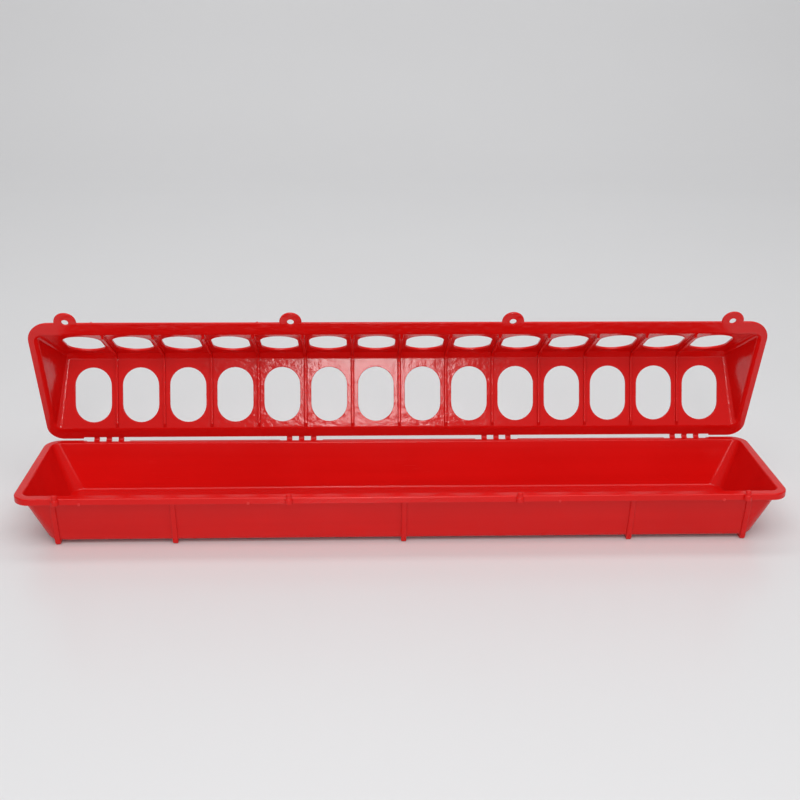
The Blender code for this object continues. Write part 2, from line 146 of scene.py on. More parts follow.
class Graph:
    """A node tree that is built one node at a time."""

    def __init__(self, tree: bpy.types.NodeTree) -> None:
        """Wrap a node tree."""
        self.tree = tree

    def add(self, kind: str, values: dict | None = None, output: int | str = 0,
            **settings: object) -> Wire:
        """Add a node.

        Args:
            kind: the node's type.
            values: a number, colour, object or Wire for each socket, by name or index.
            output: which output to hand back.
            **settings: the node's own settings, set first; stops fills a colour ramp.

        Returns:
            The chosen output.
        """
        node = self.tree.nodes.new(kind)
        for name, value in settings.items():
            if name == "stops":
                self._set_stops(node, value)
            else:
                setattr(node, name, value)
        for key, value in (values or {}).items():
            self.feed(node.inputs[key], value)
        return Wire(self, node.outputs[output])

    def mix(self, share: Wire, first: Sequence[float], second: Sequence[float]) -> Wire:
        """Mix two colours, on the Mix node's colour sockets.

        Args:
            share: 0 gives the first colour and 1 the second.
            first: red, green and blue.
            second: the same for the other colour.

        Returns:
            The mixed colour.
        """
        colours = {0: share, 6: (*first, 1.0), 7: (*second, 1.0)}
        return self.add("ShaderNodeMix", colours, output=2, data_type="RGBA")

    def feed(self, socket: bpy.types.NodeSocket, value: object) -> None:
        """Link a Wire, or several, to a socket, or set the socket's own value."""
        wires = value if isinstance(value, list) else [value]
        for wire in wires:
            if isinstance(wire, Wire):
                self.tree.links.new(wire.socket, socket)
            else:
                socket.default_value = wire

    @staticmethod
    def _set_stops(node: bpy.types.Node, stops: Sequence[tuple[float, float]]) -> None:
        """Fill a ramp with grey stops, each a position and a level."""
        ramp = node.color_ramp
        while len(ramp.elements) < len(stops):
            ramp.elements.new(1.0)
        for element, (position, level) in zip(ramp.elements, stops):
            element.position = position
            element.color = (level, level, level, 1.0)


# Finishes


@dataclass(frozen=True)
class MouldedPlastic:
    """Glossy injection-moulded polypropylene, with flow streaks, soft ripples and fine rub marks.

    The ripple, mottle and grain are heights; rub and drift are added to the roughness.
    """

    name: str
    colour: tuple[float, float, float]
    deep_colour: tuple[float, float, float]
    roughness: float
    ior: float = 1.42
    ripple: float = 0.18 * MM
    mottle: float = 0.03 * MM
    grain: float = 0.005 * MM
    rub: float = 0.12
    drift: float = 0.08
    cloud_share: float = 0.65
    seed: float = 0.0

    def material(self) -> bpy.types.Material:
        """Build the material.

        Returns:
            The finished material.
        """
        material = bpy.data.materials.new(self.name)
        material.use_nodes = True
        graph = Graph(material.node_tree)
        shader = material.node_tree.nodes["Principled BSDF"]
        place = graph.add("ShaderNodeTexCoord", output="Object")
        shader.inputs["IOR"].default_value = self.ior
        graph.feed(shader.inputs["Base Color"], self._colour(graph, place))
        graph.feed(shader.inputs["Roughness"], self._gloss(graph, place))
        graph.feed(shader.inputs["Normal"], self._relief(graph, place))
        return material

    def _noise(self, graph: Graph, place: Wire, stretch: tuple[float, float, float],
               detail: float) -> Wire:
        """Noise over the piece.

        Args:
            graph: the material's graph.
            place: Object coordinates.
            stretch: how many features there are in a metre, along each axis.
            detail: how many finer layers the noise has.

        Returns:
            A value from 0 to 1.
        """
        shift = (self.seed, self.seed / 2, -self.seed)
        mapped = graph.add("ShaderNodeMapping", {"Vector": place, "Scale": stretch, "Location": shift})
        return graph.add("ShaderNodeTexNoise", {"Vector": mapped, "Scale": 1.0, "Detail": detail})

    def _colour(self, graph: Graph, place: Wire) -> Wire:
        """Red that deepens in clouds and in streaks along the flow of the melt."""
        clouds = self._noise(graph, place, stretch=(9.0, 14.0, 14.0), detail=3.0)
        streaks = self._noise(graph, place, stretch=(5.0, 160.0, 160.0), detail=4.0)
        both = self.cloud_share * clouds + (1 - self.cloud_share) * streaks
        share = graph.add("ShaderNodeValToRGB", {"Fac": both}, stops=((0.36, 0.0), (0.66, 1.0)))
        return graph.mix(share, self.colour, self.deep_colour)

    def _rub_marks(self, graph: Graph, place: Wire) -> Wire:
        """Fine scratches, mostly along the length, gathered in patches."""
        lines = self._noise(graph, place, stretch=(45.0, 2600.0, 2600.0), detail=2.0)
        patches = self._noise(graph, place, stretch=(18.0, 30.0, 30.0), detail=2.0)
        thin = graph.add("ShaderNodeValToRGB", {"Fac": lines}, stops=((0.62, 0.0), (0.70, 1.0)))
        where = graph.add("ShaderNodeValToRGB", {"Fac": patches}, stops=((0.45, 0.0), (0.68, 1.0)))
        return thin * where

    def _gloss(self, graph: Graph, place: Wire) -> Wire:
        """Roughness that drifts over the surface and rises along the rub marks."""
        cloud = self._noise(graph, place, stretch=(26.0, 40.0, 40.0), detail=5.0)
        return self.roughness + (cloud - 0.5) * self.drift + self._rub_marks(graph, place) * self.rub

    def _relief(self, graph: Graph, place: Wire) -> Wire:
        """Soft shrinkage ripples, a mottle and a very fine skin texture, as one height in metres."""
        ripples = self._noise(graph, place, stretch=(28.0, 46.0, 46.0), detail=1.0)
        mottle = self._noise(graph, place, stretch=(210.0, 260.0, 260.0), detail=3.0)
        grain = self._noise(graph, place, stretch=(1500.0, 1500.0, 1500.0), detail=2.0)
        height = ripples * self.ripple + mottle * self.mottle + grain * self.grain
        return graph.add("ShaderNodeBump", {"Height": height, "Strength": 1.0, "Distance": 1.0})


@dataclass(frozen=True)
class PaperSweep:
    """The pale satin paper that the feeder stands on."""

    name: str = "backdrop_paper"
    colour: tuple[float, float, float] = (0.80, 0.80, 0.81)
    dulled: float = 0.96
    roughness: float = 0.30

    def material(self) -> bpy.types.Material:
        """Build the material.

        Returns:
            The finished material.
        """
        material = bpy.data.materials.new(self.name)
        material.use_nodes = True
        graph = Graph(material.node_tree)
        shader = material.node_tree.nodes["Principled BSDF"]
        place = graph.add("ShaderNodeTexCoord", output="Object")
        tone = graph.add("ShaderNodeTexNoise", {"Vector": place, "Scale": 2.5, "Detail": 4.0})
        dull = [self.dulled * part for part in self.colour]
        graph.feed(shader.inputs["Base Color"], graph.mix(tone, self.colour, dull))
        shader.inputs["Roughness"].default_value = self.roughness
        return material


# Mesh tools


def link_object(name: str, mesh: bpy.types.Mesh) -> bpy.types.Object:
    """Put a mesh in the scene as an object at the origin."""
    thing = bpy.data.objects.new(name, mesh)
    bpy.context.scene.collection.objects.link(thing)
    return thing


def discard(*things: bpy.types.Object) -> None:
    """Remove helper objects."""
    for thing in things:
        bpy.data.objects.remove(thing)


def settle(thing: bpy.types.Object) -> bpy.types.Object:
    """Keep what an object's modifiers make of it as its plain mesh."""
    evaluated = thing.evaluated_get(bpy.context.evaluated_depsgraph_get())
    mesh = bpy.data.meshes.new_from_object(evaluated)
    thing.modifiers.clear()
    thing.data = mesh
    return thing


def carve(target: bpy.types.Object, tool: bpy.types.Object, operation: Operation) -> None:
    """Join a solid to another, or cut it away, and remove the tool.

    Args:
        target: the piece that changes.
        tool: the solid that acts on it.
        operation: whether the tool is joined or cut away.
    """
    modifier = target.modifiers.new(tool.name, "BOOLEAN")
    modifier.operation = operation.value
    modifier.solver = "EXACT"
    modifier.object = tool
    settle(target)
    discard(tool)


def skin(name: str, rings: Sequence[Sequence[Vector]]) -> bpy.types.Mesh:
    """Close a chain of matching rings into a solid.

    Args:
        name: the mesh's name.
        rings: rings of points, each with as many points as the next.

    Returns:
        A closed mesh with its faces pointing out.
    """
    bm = bmesh.new()
    rows = [[bm.verts.new(point) for point in ring] for ring in rings]
    for lower, upper in zip(rows, rows[1:]):
        for index in range(len(lower)):
            after = (index + 1) % len(lower)
            bm.faces.new((lower[index], lower[after], upper[after], upper[index]))
    bm.faces.new(rows[0])
    bm.faces.new(rows[-1])
    bmesh.ops.recalc_face_normals(bm, faces=bm.faces)
    mesh = bpy.data.meshes.new(name)
    bm.to_mesh(mesh)
    bm.free()
    return mesh


def arc(before: Vector, corner: Vector, after: Vector, radius: float, steps: int) -> list[Vector]:
    """Round a corner.

    Args:
        before: the point before the corner.
        corner: the sharp corner.
        after: the point after it.
        radius: the fillet's radius; 0 keeps the corner.
        steps: how many chords the fillet has.

    Returns:
        The fillet's points, in order.
    """
    if radius == 0:
        return [corner] * (steps + 1)
    back = (before - corner).normalized()
    ahead = (after - corner).normalized()
    half = back.angle(ahead) / 2
    centre = corner + (back + ahead).normalized() * (radius / math.sin(half))
    start = corner + back * (radius / math.tan(half)) - centre
    end = corner + ahead * (radius / math.tan(half)) - centre
    turn = start.angle(end)
    points = []
    for step in range(steps + 1):
        share = step / steps
        first = math.sin((1 - share) * turn) / math.sin(turn)
        second = math.sin(share * turn) / math.sin(turn)
        points.append(centre + start * first + end * second)
    return points


@dataclass(frozen=True)
class Hoop:
    """One corner of a moulding's profile, as the profile runs along its sides and round its ends."""

    half_y: float
    half_x: float
    height: float
    fillet: float
    free_radius: float
    hinge_radius: float


def hooped_rings(hoops: Sequence[Hoop], centre_y: float) -> list[list[Vector]]:
    """The rings of a long moulding whose profile has rounded corners.

    Args:
        hoops: the profile's corners; the first and the last stay sharp and are capped.
        centre_y: the moulding's middle.

    Returns:
        Rings of points.
    """
    sides = [Vector((hoop.half_y, hoop.height)) for hoop in hoops]
    ends = [Vector((hoop.half_x, hoop.height)) for hoop in hoops]
    rings = [ring_points(hoops[0], sides[0], ends[0], centre_y)]
    for index in range(1, len(hoops) - 1):
        hoop = hoops[index]
        side_arc = arc(*sides[index - 1:index + 2], hoop.fillet, FILLET_STEPS)
        end_arc = arc(*ends[index - 1:index + 2], hoop.fillet, FILLET_STEPS)
        for side, end in zip(side_arc, end_arc):
            rings.append(ring_points(hoop, side, end, centre_y))
    rings.append(ring_points(hoops[-1], sides[-1], ends[-1], centre_y))
    return rings


def ring_points(hoop: Hoop, side: Vector, end: Vector, centre_y: float) -> list[Vector]:
    """One ring: a rectangle with round corners whose height may differ between sides and ends.

    Args:
        hoop: the profile corner that the ring belongs to, for its radii.
        side: how far out, and how high, the ring runs along the sides.
        end: the same at the ends.
        centre_y: the moulding's middle.

    Returns:
        The ring's points, anticlockwise from above.
    """
    grow = side.x - hoop.half_y
    free = max(hoop.free_radius + grow, LEAST_RADIUS)
    hinge = max(hoop.hinge_radius + grow, LEAST_RADIUS)
    corners = ((1, -1, free, -90), (1, 1, hinge, 0), (-1, 1, hinge, 90), (-1, -1, free, 180))
    points = []
    for side_x, side_y, radius, start in corners:
        for step in range(CORNER_STEPS + 1):
            turn = math.radians(start + 90 * step / CORNER_STEPS)
            x = side_x * (end.x - radius) + radius * math.cos(turn)
            y = side_y * (side.x - radius) + radius * math.sin(turn)
            z = end.y + (side.y - end.y) * math.sin(turn) ** 2
            points.append(Vector((x, centre_y + y, z)))
    return points


def lipped_sections(half_depth: float, lip: float, steps: int = 4) -> list[tuple[float, float]]:
    """Heights through a cutter and how much wider it gets, so that the cut's edges come out round.

    Args:
        half_depth: half the thickness of the wall that is cut.
        lip: the radius of the cut's edges.
        steps: chords in each rounded edge.

    Returns:
        Pairs of a height and a growth, from low to high.
    """
    upper = []
    for step in range(steps + 1):
        turn = LIP_TURN * step / steps
        height = half_depth - lip * math.sin(LIP_TURN) + lip * math.sin(turn)
        upper.append((height, lip * (1 - math.cos(turn))))
    widest = upper[-1][1] + CUTTER_CLEARANCE * math.tan(LIP_TURN)
    upper.append((half_depth + CUTTER_CLEARANCE, widest))
    return [(-height, growth) for height, growth in upper[::-1]] + upper


def lipped_cutter(name: str, outline: Callable[[float], list[Vector]], normal: Vector, half_depth: float,
                  lip: float) -> bpy.types.Object:
    """A cutter that leaves round edges.

    Args:
        name: the cutter's name.
        outline: gives the outline in the wall's middle plane, grown by a distance.
        normal: the direction through the wall.
        half_depth: half the wall's thickness.
        lip: the radius of the edges that it leaves.

    Returns:
        The cutter.
    """
    rings = []
    for height, growth in lipped_sections(half_depth, lip):
        rings.append([point + normal * height for point in outline(growth)])
    return link_object(name, skin(name, rings))


def turned(name: str, profile: Sequence[tuple[float, float]], steps: int) -> bpy.types.Mesh:
    """A solid of revolution about Z.

    Args:
        name: the mesh's name.
        profile: radii and heights, from low to high.
        steps: sides round the axis.

    Returns:
        The closed mesh.
    """
    turns = [2 * math.pi * step / steps for step in range(steps)]
    rings = []
    for radius, height in profile:
        rings.append([Vector((radius * math.cos(turn), radius * math.sin(turn), height)) for turn in turns])
    return skin(name, rings)


@dataclass(frozen=True)
class RibSection:
    """The cross-section of a rib: round along its crest and flared where it meets the wall."""

    width: float
    crest_round: float
    flare: float
    sink: float
    steps: int = 3

    def half(self) -> list[tuple[float, bool, float]]:
        """Half of the section.

        Returns:
            For each point its distance from the rib's middle, whether it is measured from the
            crest or else from the foot, and its distance from there towards the crest.
        """
        side = self.width / 2
        points = [(side + self.flare, False, -self.sink)]
        for step in range(self.steps + 1):
            turn = math.pi / 2 * step / self.steps
            across = side + self.flare * (1 - math.sin(turn))
            points.append((across, False, self.flare * (1 - math.cos(turn))))
        for step in range(self.steps + 1):
            turn = math.pi / 2 * step / self.steps
            inset = self.crest_round * (1 - math.cos(turn))
            points.append((side - inset, True, self.crest_round * (math.sin(turn) - 1)))
        return points

    def sweep(self, name: str, foot: Sequence[Vector], crest: Sequence[Vector]) -> bpy.types.Mesh:
        """Sweep the section along a wall.

        Args:
            name: the mesh's name.
            foot: where the rib meets the wall, in the plane x = 0.
            crest: the rib's crest beside each of those points.

        Returns:
            The rib as a closed mesh.
        """
        half = self.half()
        whole = half + [(-across, on_crest, rise) for across, on_crest, rise in half[::-1]]
        rings = []
        for low, high in zip(foot, crest):
            up = (high - low).normalized()
            ring = []
            for across, on_crest, rise in whole:
                ring.append((high if on_crest else low) + up * rise + Vector((across, 0, 0)))
            rings.append(ring)
        return skin(name, rings)


# Geometry Nodes that repeat a piece


class Repeater:
    """Builds the node trees that set copies of a piece along the feeder."""

    def __init__(self) -> None:
        """Build both trees."""
        self.row_tree = self._row()
        self.station_tree = self._stations()

    @staticmethod
    def _start(name: str, sockets: dict[str, str]) -> tuple[Graph, dict[str, Wire]]:
        """Start a tree.

        Args:
            name: the tree's name.
            sockets: the type of each named input.

        Returns:
            The graph and a Wire for each input.
        """
        tree = bpy.data.node_groups.new(name, "GeometryNodeTree")
        for label, kind in sockets.items():
            tree.interface.new_socket(label, in_out="INPUT", socket_type=kind)
        tree.interface.new_socket("Geometry", in_out="OUTPUT", socket_type="NodeSocketGeometry")
        graph = Graph(tree)
        source = tree.nodes.new("NodeGroupInput")
        return graph, {label: Wire(graph, source.outputs[label]) for label in sockets}

    @staticmethod
    def _finish(graph: Graph, points: Wire, instance: Wire, finish: Wire) -> None:
        """End a tree with instances on points, made real and given their material."""
        copies = graph.add("GeometryNodeInstanceOnPoints", {"Points": points, "Instance": instance})
        real = graph.add("GeometryNodeRealizeInstances", {"Geometry": copies})
        dressed = graph.add("GeometryNodeSetMaterial", {"Geometry": real, "Material": finish})
        target = graph.tree.nodes.new("NodeGroupOutput")
        graph.feed(target.inputs[0], dressed)

    def _row(self) -> bpy.types.NodeTree:
        """A straight row: Count copies from First, each a Step on."""
        graph, given = self._start("straight_row", {
            "Piece": "NodeSocketObject", "Count": "NodeSocketInt", "First": "NodeSocketVector",
            "Step": "NodeSocketVector", "Finish": "NodeSocketMaterial",
        })
        piece = graph.add("GeometryNodeObjectInfo", {"Object": given["Piece"]}, output="Geometry")
        line = graph.add("GeometryNodeMeshLine", {
            "Count": given["Count"], "Start Location": given["First"], "Offset": given["Step"],
        })
        self._finish(graph, line, piece, given["Finish"])
        return graph.tree

    def _stations(self) -> bpy.types.NodeTree:
        """Groups of copies at two stations on each side, and one in the middle if asked."""
        graph, given = self._start("mirrored_stations", {
            "Piece": "NodeSocketObject", "Copies": "NodeSocketInt", "Pitch": "NodeSocketFloat",
            "Inner Station": "NodeSocketFloat", "Outer Station": "NodeSocketFloat",
            "Middle": "NodeSocketBool", "Finish": "NodeSocketMaterial",
        })
        apart = given["Outer Station"] - given["Inner Station"]
        step = graph.add("ShaderNodeCombineXYZ", {"X": apart})
        lines = []
        for start in (0.0 - given["Outer Station"], given["Inner Station"]):
            first = graph.add("ShaderNodeCombineXYZ", {"X": start})
            lines.append(graph.add("GeometryNodeMeshLine",
                                   {"Count": 2, "Start Location": first, "Offset": step}))
        centre = graph.add("GeometryNodeMeshLine", {"Count": 1})
        lines.append(graph.add("GeometryNodeSwitch", {"Switch": given["Middle"], "True": centre},
                               input_type="GEOMETRY"))
        stations = graph.add("GeometryNodeJoinGeometry", {"Geometry": lines})
        piece = graph.add("GeometryNodeObjectInfo", {"Object": given["Piece"]}, output="Geometry")
        back = (1.0 - given["Copies"]) * given["Pitch"] * 0.5
        group_line = graph.add("GeometryNodeMeshLine", {
            "Count": given["Copies"],
            "Start Location": graph.add("ShaderNodeCombineXYZ", {"X": back}),
            "Offset": graph.add("ShaderNodeCombineXYZ", {"X": given["Pitch"]}),
        })
        group = graph.add("GeometryNodeInstanceOnPoints", {"Points": group_line, "Instance": piece})
        self._finish(graph, stations, group, given["Finish"])
        return graph.tree

    @staticmethod
    def _run(name: str, tree: bpy.types.NodeTree, values: dict[str, object]) -> bpy.types.Object:
        """Run a tree and keep its result as a plain mesh.

        Args:
            name: the new object's name.
            tree: the node tree.
            values: the value of each named input.

        Returns:
            The new object.
        """
        holder = link_object(name, bpy.data.meshes.new(name))
        modifier = holder.modifiers.new("repeat", "NODES")
        modifier.node_group = tree
        for item in tree.interface.items_tree:
            if item.name in values:
                modifier[item.identifier] = values[item.name]
        return settle(holder)

    def row(self, name: str, piece: bpy.types.Object, count: int, first: Vector, step: Vector,
            finish: bpy.types.Material | None = None) -> bpy.types.Object:
        """Repeat a piece in a straight row and remove the piece.

        Args:
            name: the row's name.
            piece: the piece, built at the origin.
            count: how many copies.
            first: where the first one goes.
            step: from one copy to the next.
            finish: the copies' material.

        Returns:
            The row as one object.
        """
        values = {"Piece": piece, "Count": count, "First": first, "Step": step, "Finish": finish}
        made = self._run(name, self.row_tree, values)
        discard(piece)
        return made

    def stations(self, name: str, piece: bpy.types.Object, inner: float, outer: float, copies: int = 1,
                 pitch: float = 0.0, middle: bool = False,
                 finish: bpy.types.Material | None = None) -> bpy.types.Object:
        """Repeat a piece at mirrored stations and remove the piece.

        Args:
            name: the group's name.
            piece: the piece, built at the origin.
            inner: the inner stations' distance from the middle.
            outer: the outer stations' distance from the middle.
            copies: how many stand together at each station.
            pitch: their spacing.
            middle: whether the middle has one too.
            finish: the copies' material.

        Returns:
            All the copies as one object.
        """
        values = {"Piece": piece, "Copies": copies, "Pitch": pitch, "Inner Station": inner,
                  "Outer Station": outer, "Middle": middle, "Finish": finish}
        made = self._run(name, self.station_tree, values)
        discard(piece)
        return made


def dress(piece: bpy.types.Object, material: bpy.types.Material) -> None:
    """Give a piece its material, smooth its round faces and keep its flat ones flat.

    Args:
        piece: the piece.
        material: its finish.
    """
    mesh = piece.data
    mesh.materials.clear()
    mesh.materials.append(material)
    mesh.shade_smooth()
    mesh.set_sharp_from_angle(angle=SHARP_ANGLE)
    modifier = piece.modifiers.new("weighted_normals", "WEIGHTED_NORMAL")
    modifier.keep_sharp = True
    modifier.weight = 100
    settle(piece)


def keep(piece: bpy.types.Object, body: Body, slot: str, *stands_for: str) -> None:
    """Hand a finished piece to the frame.

    Args:
        piece: the piece.
        body: the body that it rides on.
        slot: the name of the record's material slot; not used.
        *stands_for: CAD nodes that it replaces.
    """
    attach(piece, body.value)
    if stands_for:
        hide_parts(*stands_for)
    LOG.info("%s: %d faces, rides on %s", piece.name, len(piece.data.polygons), body.value)


# The feeder


@dataclass
class Hinge:
    """Where the lid turns, and how far it is open at rest."""

    axis: Vector = field(default_factory=lambda: Vector(frame["joints"][0]["pos_m"]))
    open_angle: float = field(default_factory=lambda: -math.radians(frame["joints"][0]["range_deg"][0]))

    def opened(self) -> Matrix:
        """From the shut lid about the hinge axis to the open lid in the frame."""
        return Matrix.Translation(self.axis) @ Matrix.Rotation(-self.open_angle, 4, "X")


def front_stations(half_length: float) -> tuple[Vector, Vector]:
    """The first of the latches, and the step to the next.

    Args:
        half_length: half the tray's length.

    Returns:
        The first latch's place along X, and the step.
    """
    outer = half_length - LATCH_END_DISTANCE
    return Vector((-outer, 0, 0)), Vector((2 * outer / (LATCHES - 1), 0, 0))


@dataclass
class HingeEdge:
    """The relieved hinge edge that both mouldings share, and the notches in the tray's."""

    relief: float = 1.3 * MM
    notch: float = 1.3 * MM
    relief_half: float = 225 * MM
    notch_half: float = 14.6 * MM
    round_edge: float = 0.35 * MM
    overcut: float = 3 * MM
    notch_overlap: float = 0.6 * MM

    def relief_outline(self, edge_y: float, z: float) -> Callable[[float], list[Vector]]:
        """The relief seen from above, as a function of how much it is grown."""
        def outline(growth: float) -> list[Vector]:
            """The four corners."""
            inner = edge_y - self.relief - growth
            outer = edge_y + self.overcut
            half = self.relief_half + growth
            return [
                Vector((-half - self.relief, outer, z)), Vector((-half + self.relief, inner, z)),
                Vector((half - self.relief, inner, z)), Vector((half + self.relief, outer, z)),
            ]
        return outline

    def notch_outline(self, edge_y: float) -> Callable[[float], list[Vector]]:
        """One notch seen from above, with chamfered ends, as a function of how much it is grown."""
        def outline(growth: float) -> list[Vector]:
            """The four corners."""
            mouth = edge_y - self.relief + self.notch_overlap
            inner = edge_y - self.relief - self.notch - growth
            half = self.notch_half + growth
            return [
                Vector((-half - self.notch, mouth, 0)), Vector((-half, inner, 0)),
                Vector((half, inner, 0)), Vector((half + self.notch, mouth, 0)),
            ]
        return outline


@dataclass
class Tray:
    """The open trough: walls, rim with its lip, ribs with feet, latch pegs and gate marks."""

    repeat: Repeater
    finish: bpy.types.Material
    edge: HingeEdge
    half_length: float
    half_width: float
    rim_height: float
    wall: float = TRAY_WALL
    foot_height: float = 2.2 * MM
    side_rim: float = 6 * MM
    end_rim: float = 5.5 * MM
    side_draft: float = 6.7 * MM
    end_draft: float = 12.8 * MM
    lip_drop: float = 4.5 * MM
    lip_wall: float = 1.4 * MM
    corner_radius: float = 11 * MM
    floor_radius: float = 9 * MM
    floor_fillet: float = 3.6 * MM
    cap_inset: float = 6 * MM
    neck_fillet: float = 0.9 * MM
    lip_fillet: float = 0.4 * MM
    lip_inner_edge: float = 0.3 * MM
    lip_outer_edge: float = 0.5 * MM
    rim_edge: float = 0.9 * MM
    mouth_edge: float = 1.0 * MM
    rib: RibSection = RibSection(width=3.4 * MM, crest_round=0.6 * MM, flare=0.7 * MM, sink=0.5 * MM)
    rib_proud: float = 1.5 * MM
    rib_embed: float = 0.4 * MM
    toe_radius: float = 1.6 * MM
    heel_steps: int = 6
    rib_inner_station: float = 149 * MM
    rib_end_distance: float = 25 * MM
    peg_radius: float = 1.8 * MM
    boss_wall: float = 0.8 * MM
    peg_overhang: float = 0.6 * MM
    peg_top: float = 39.7 * MM
    boss_lift: float = 0.3 * MM
    gate_inner_station: float = 100 * MM
    gate_outer_station: float = 207 * MM
    gate_drop: float = 0.85

    def floor_z(self) -> float:
        """Height of the inner floor."""
        return self.foot_height + self.wall

    def wall_half(self, top_half: float, draft: float, z: float, thickness: float) -> float:
        """Half the tray's width on a wall's face.

        Args:
            top_half: half the width at the rim, on the inner face.
            draft: how much closer the inner face is at the floor.
            z: the height.
            thickness: how far outside the inner face.

        Returns:
            The half width.
        """
        fall = self.rim_height - self.floor_z()
        inner_face = top_half - draft * (self.rim_height - z) / fall
        return inner_face + thickness / math.cos(math.atan2(draft, fall))

    def side_face(self, z: float) -> float:
        """How far out the side wall's outer face is at a height."""
        return self.wall_half(self.half_width - self.side_rim, self.side_draft, z, self.wall)

    def wall_hoop(self, z: float, thickness: float, fillet: float, radius: float,
                  inset: float = 0.0) -> Hoop:
        """A profile corner on the wall, or on the floor inside it.

        Args:
            z: its height.
            thickness: how far outside the inner face.
            fillet: its fillet's radius.
            radius: the radius of the corners seen from above.
            inset: how far in from the wall.

        Returns:
            The profile corner.
        """
        half_y = self.wall_half(self.half_width - self.side_rim, self.side_draft, z, thickness) - inset
        half_x = self.wall_half(self.half_length - self.end_rim, self.end_draft, z, thickness) - inset
        return Hoop(half_y, half_x, z, fillet, radius, radius)

    def rim_hoop(self, inset: float, z: float, fillet: float) -> Hoop:
        """A profile corner on the rim, a distance in from its edge."""
        radius = self.corner_radius - inset
        return Hoop(self.half_width - inset, self.half_length - inset, z, fillet, radius, radius)

    def hoops(self) -> list[Hoop]:
        """The profile, from under the floor out round the rim and down to the inner floor."""
        under_rim = self.rim_height - self.wall
        lip_z = self.rim_height - self.lip_drop
        top_radius = self.corner_radius - self.end_rim
        floor_radius = self.floor_radius + self.wall
        return [
            self.wall_hoop(self.foot_height, self.wall, 0, floor_radius - self.cap_inset, self.cap_inset),
            self.wall_hoop(self.foot_height, self.wall, self.floor_fillet, floor_radius),
            self.wall_hoop(under_rim, self.wall, self.neck_fillet, top_radius + self.wall),
            self.rim_hoop(self.lip_wall, under_rim, self.lip_fillet),
            self.rim_hoop(self.lip_wall, lip_z, self.lip_inner_edge),
            self.rim_hoop(0, lip_z, self.lip_outer_edge),
            self.rim_hoop(0, self.rim_height, self.rim_edge),
            self.wall_hoop(self.rim_height, 0, self.mouth_edge, top_radius),
            self.wall_hoop(self.floor_z(), 0, self.floor_fillet - self.wall, self.floor_radius),
            self.wall_hoop(self.floor_z(), 0, 0, self.floor_radius - self.cap_inset, self.cap_inset),
        ]

    def build_shell(self) -> None:
        """The trough itself, with its hinge edge relieved and notched."""
        shell = link_object("tray_moulding", skin("tray_moulding", hooped_rings(self.hoops(), 0.0)))
        middle_z = self.rim_height - self.wall / 2
        self.cut_back_lip(shell)
        up = Vector((0, 0, 1))
        relief = lipped_cutter("rim_relief", self.edge.relief_outline(self.half_width, middle_z), up,
                               self.wall / 2, self.edge.round_edge)
        carve(shell, relief, Operation.CUT)
        notch = lipped_cutter("notch", self.edge.notch_outline(self.half_width), up, self.wall / 2,
                              self.edge.round_edge)
        notch.data.transform(Matrix.Translation((0, 0, middle_z)))
        inner, outer = strap_group_stations()
        carve(shell, self.repeat.stations("strap_notches", notch, inner, outer), Operation.CUT)
        dress(shell, self.finish)
        keep(shell, Body.TRAY, "tray_plastic", "tray")

    def cut_back_lip(self, shell: bpy.types.Object) -> None:
        """Remove the lip behind the hinge, where the straps need the room."""
        clear_of_rim = 0.02 * MM
        past_lip = 0.2 * MM
        low = self.rim_height - self.lip_drop - self.edge.overcut
        high = self.rim_height - self.wall - clear_of_rim
        inner = self.half_width - self.lip_wall - past_lip
        outer = self.half_width + self.edge.overcut
        half = self.edge.relief_half
        rings = []
        for z in (low, high):
            rings.append([Vector((-half, inner, z)), Vector((half, inner, z)),
                          Vector((half, outer, z)), Vector((-half, outer, z))])
        carve(shell, link_object("lip_cutter", skin("lip_cutter", rings)), Operation.CUT)

    def build_ribs(self) -> None:
        """Five ribs that wrap under the tray and end in its feet."""
        top_z = self.rim_height - self.wall + self.rib_embed
        foot_y = self.side_face(self.foot_height)
        wall_leg = Vector((0, self.side_face(top_z), top_z))
        heel = Vector((0, foot_y, self.foot_height))
        middle = Vector((0, 0, self.foot_height))
        toe_y = self.side_face(0) + self.rib_proud
        crest_top = Vector((0, self.side_face(top_z) + self.rib_proud, top_z))
        toe = Vector((0, toe_y, 0))
        crest_middle = Vector((0, 0, 0))
        heel_arc = arc(wall_leg, heel, middle, self.floor_fillet, self.heel_steps)
        toe_arc = arc(crest_top, toe, crest_middle, self.toe_radius, self.heel_steps)
        foot = [wall_leg] + heel_arc + [middle]
        crest = [crest_top] + toe_arc + [crest_middle]
        foot += [Vector((0, -point.y, point.z)) for point in foot[-2::-1]]
        crest += [Vector((0, -point.y, point.z)) for point in crest[-2::-1]]
        rib = link_object("rib", self.rib.sweep("rib", foot, crest))
        ribs = self.repeat.stations("tray_ribs", rib, self.rib_inner_station,
                                    self.half_length - self.rib_end_distance, middle=True, finish=self.finish)
        dress(ribs, self.finish)
        keep(ribs, Body.TRAY, "tray_plastic", "tray")

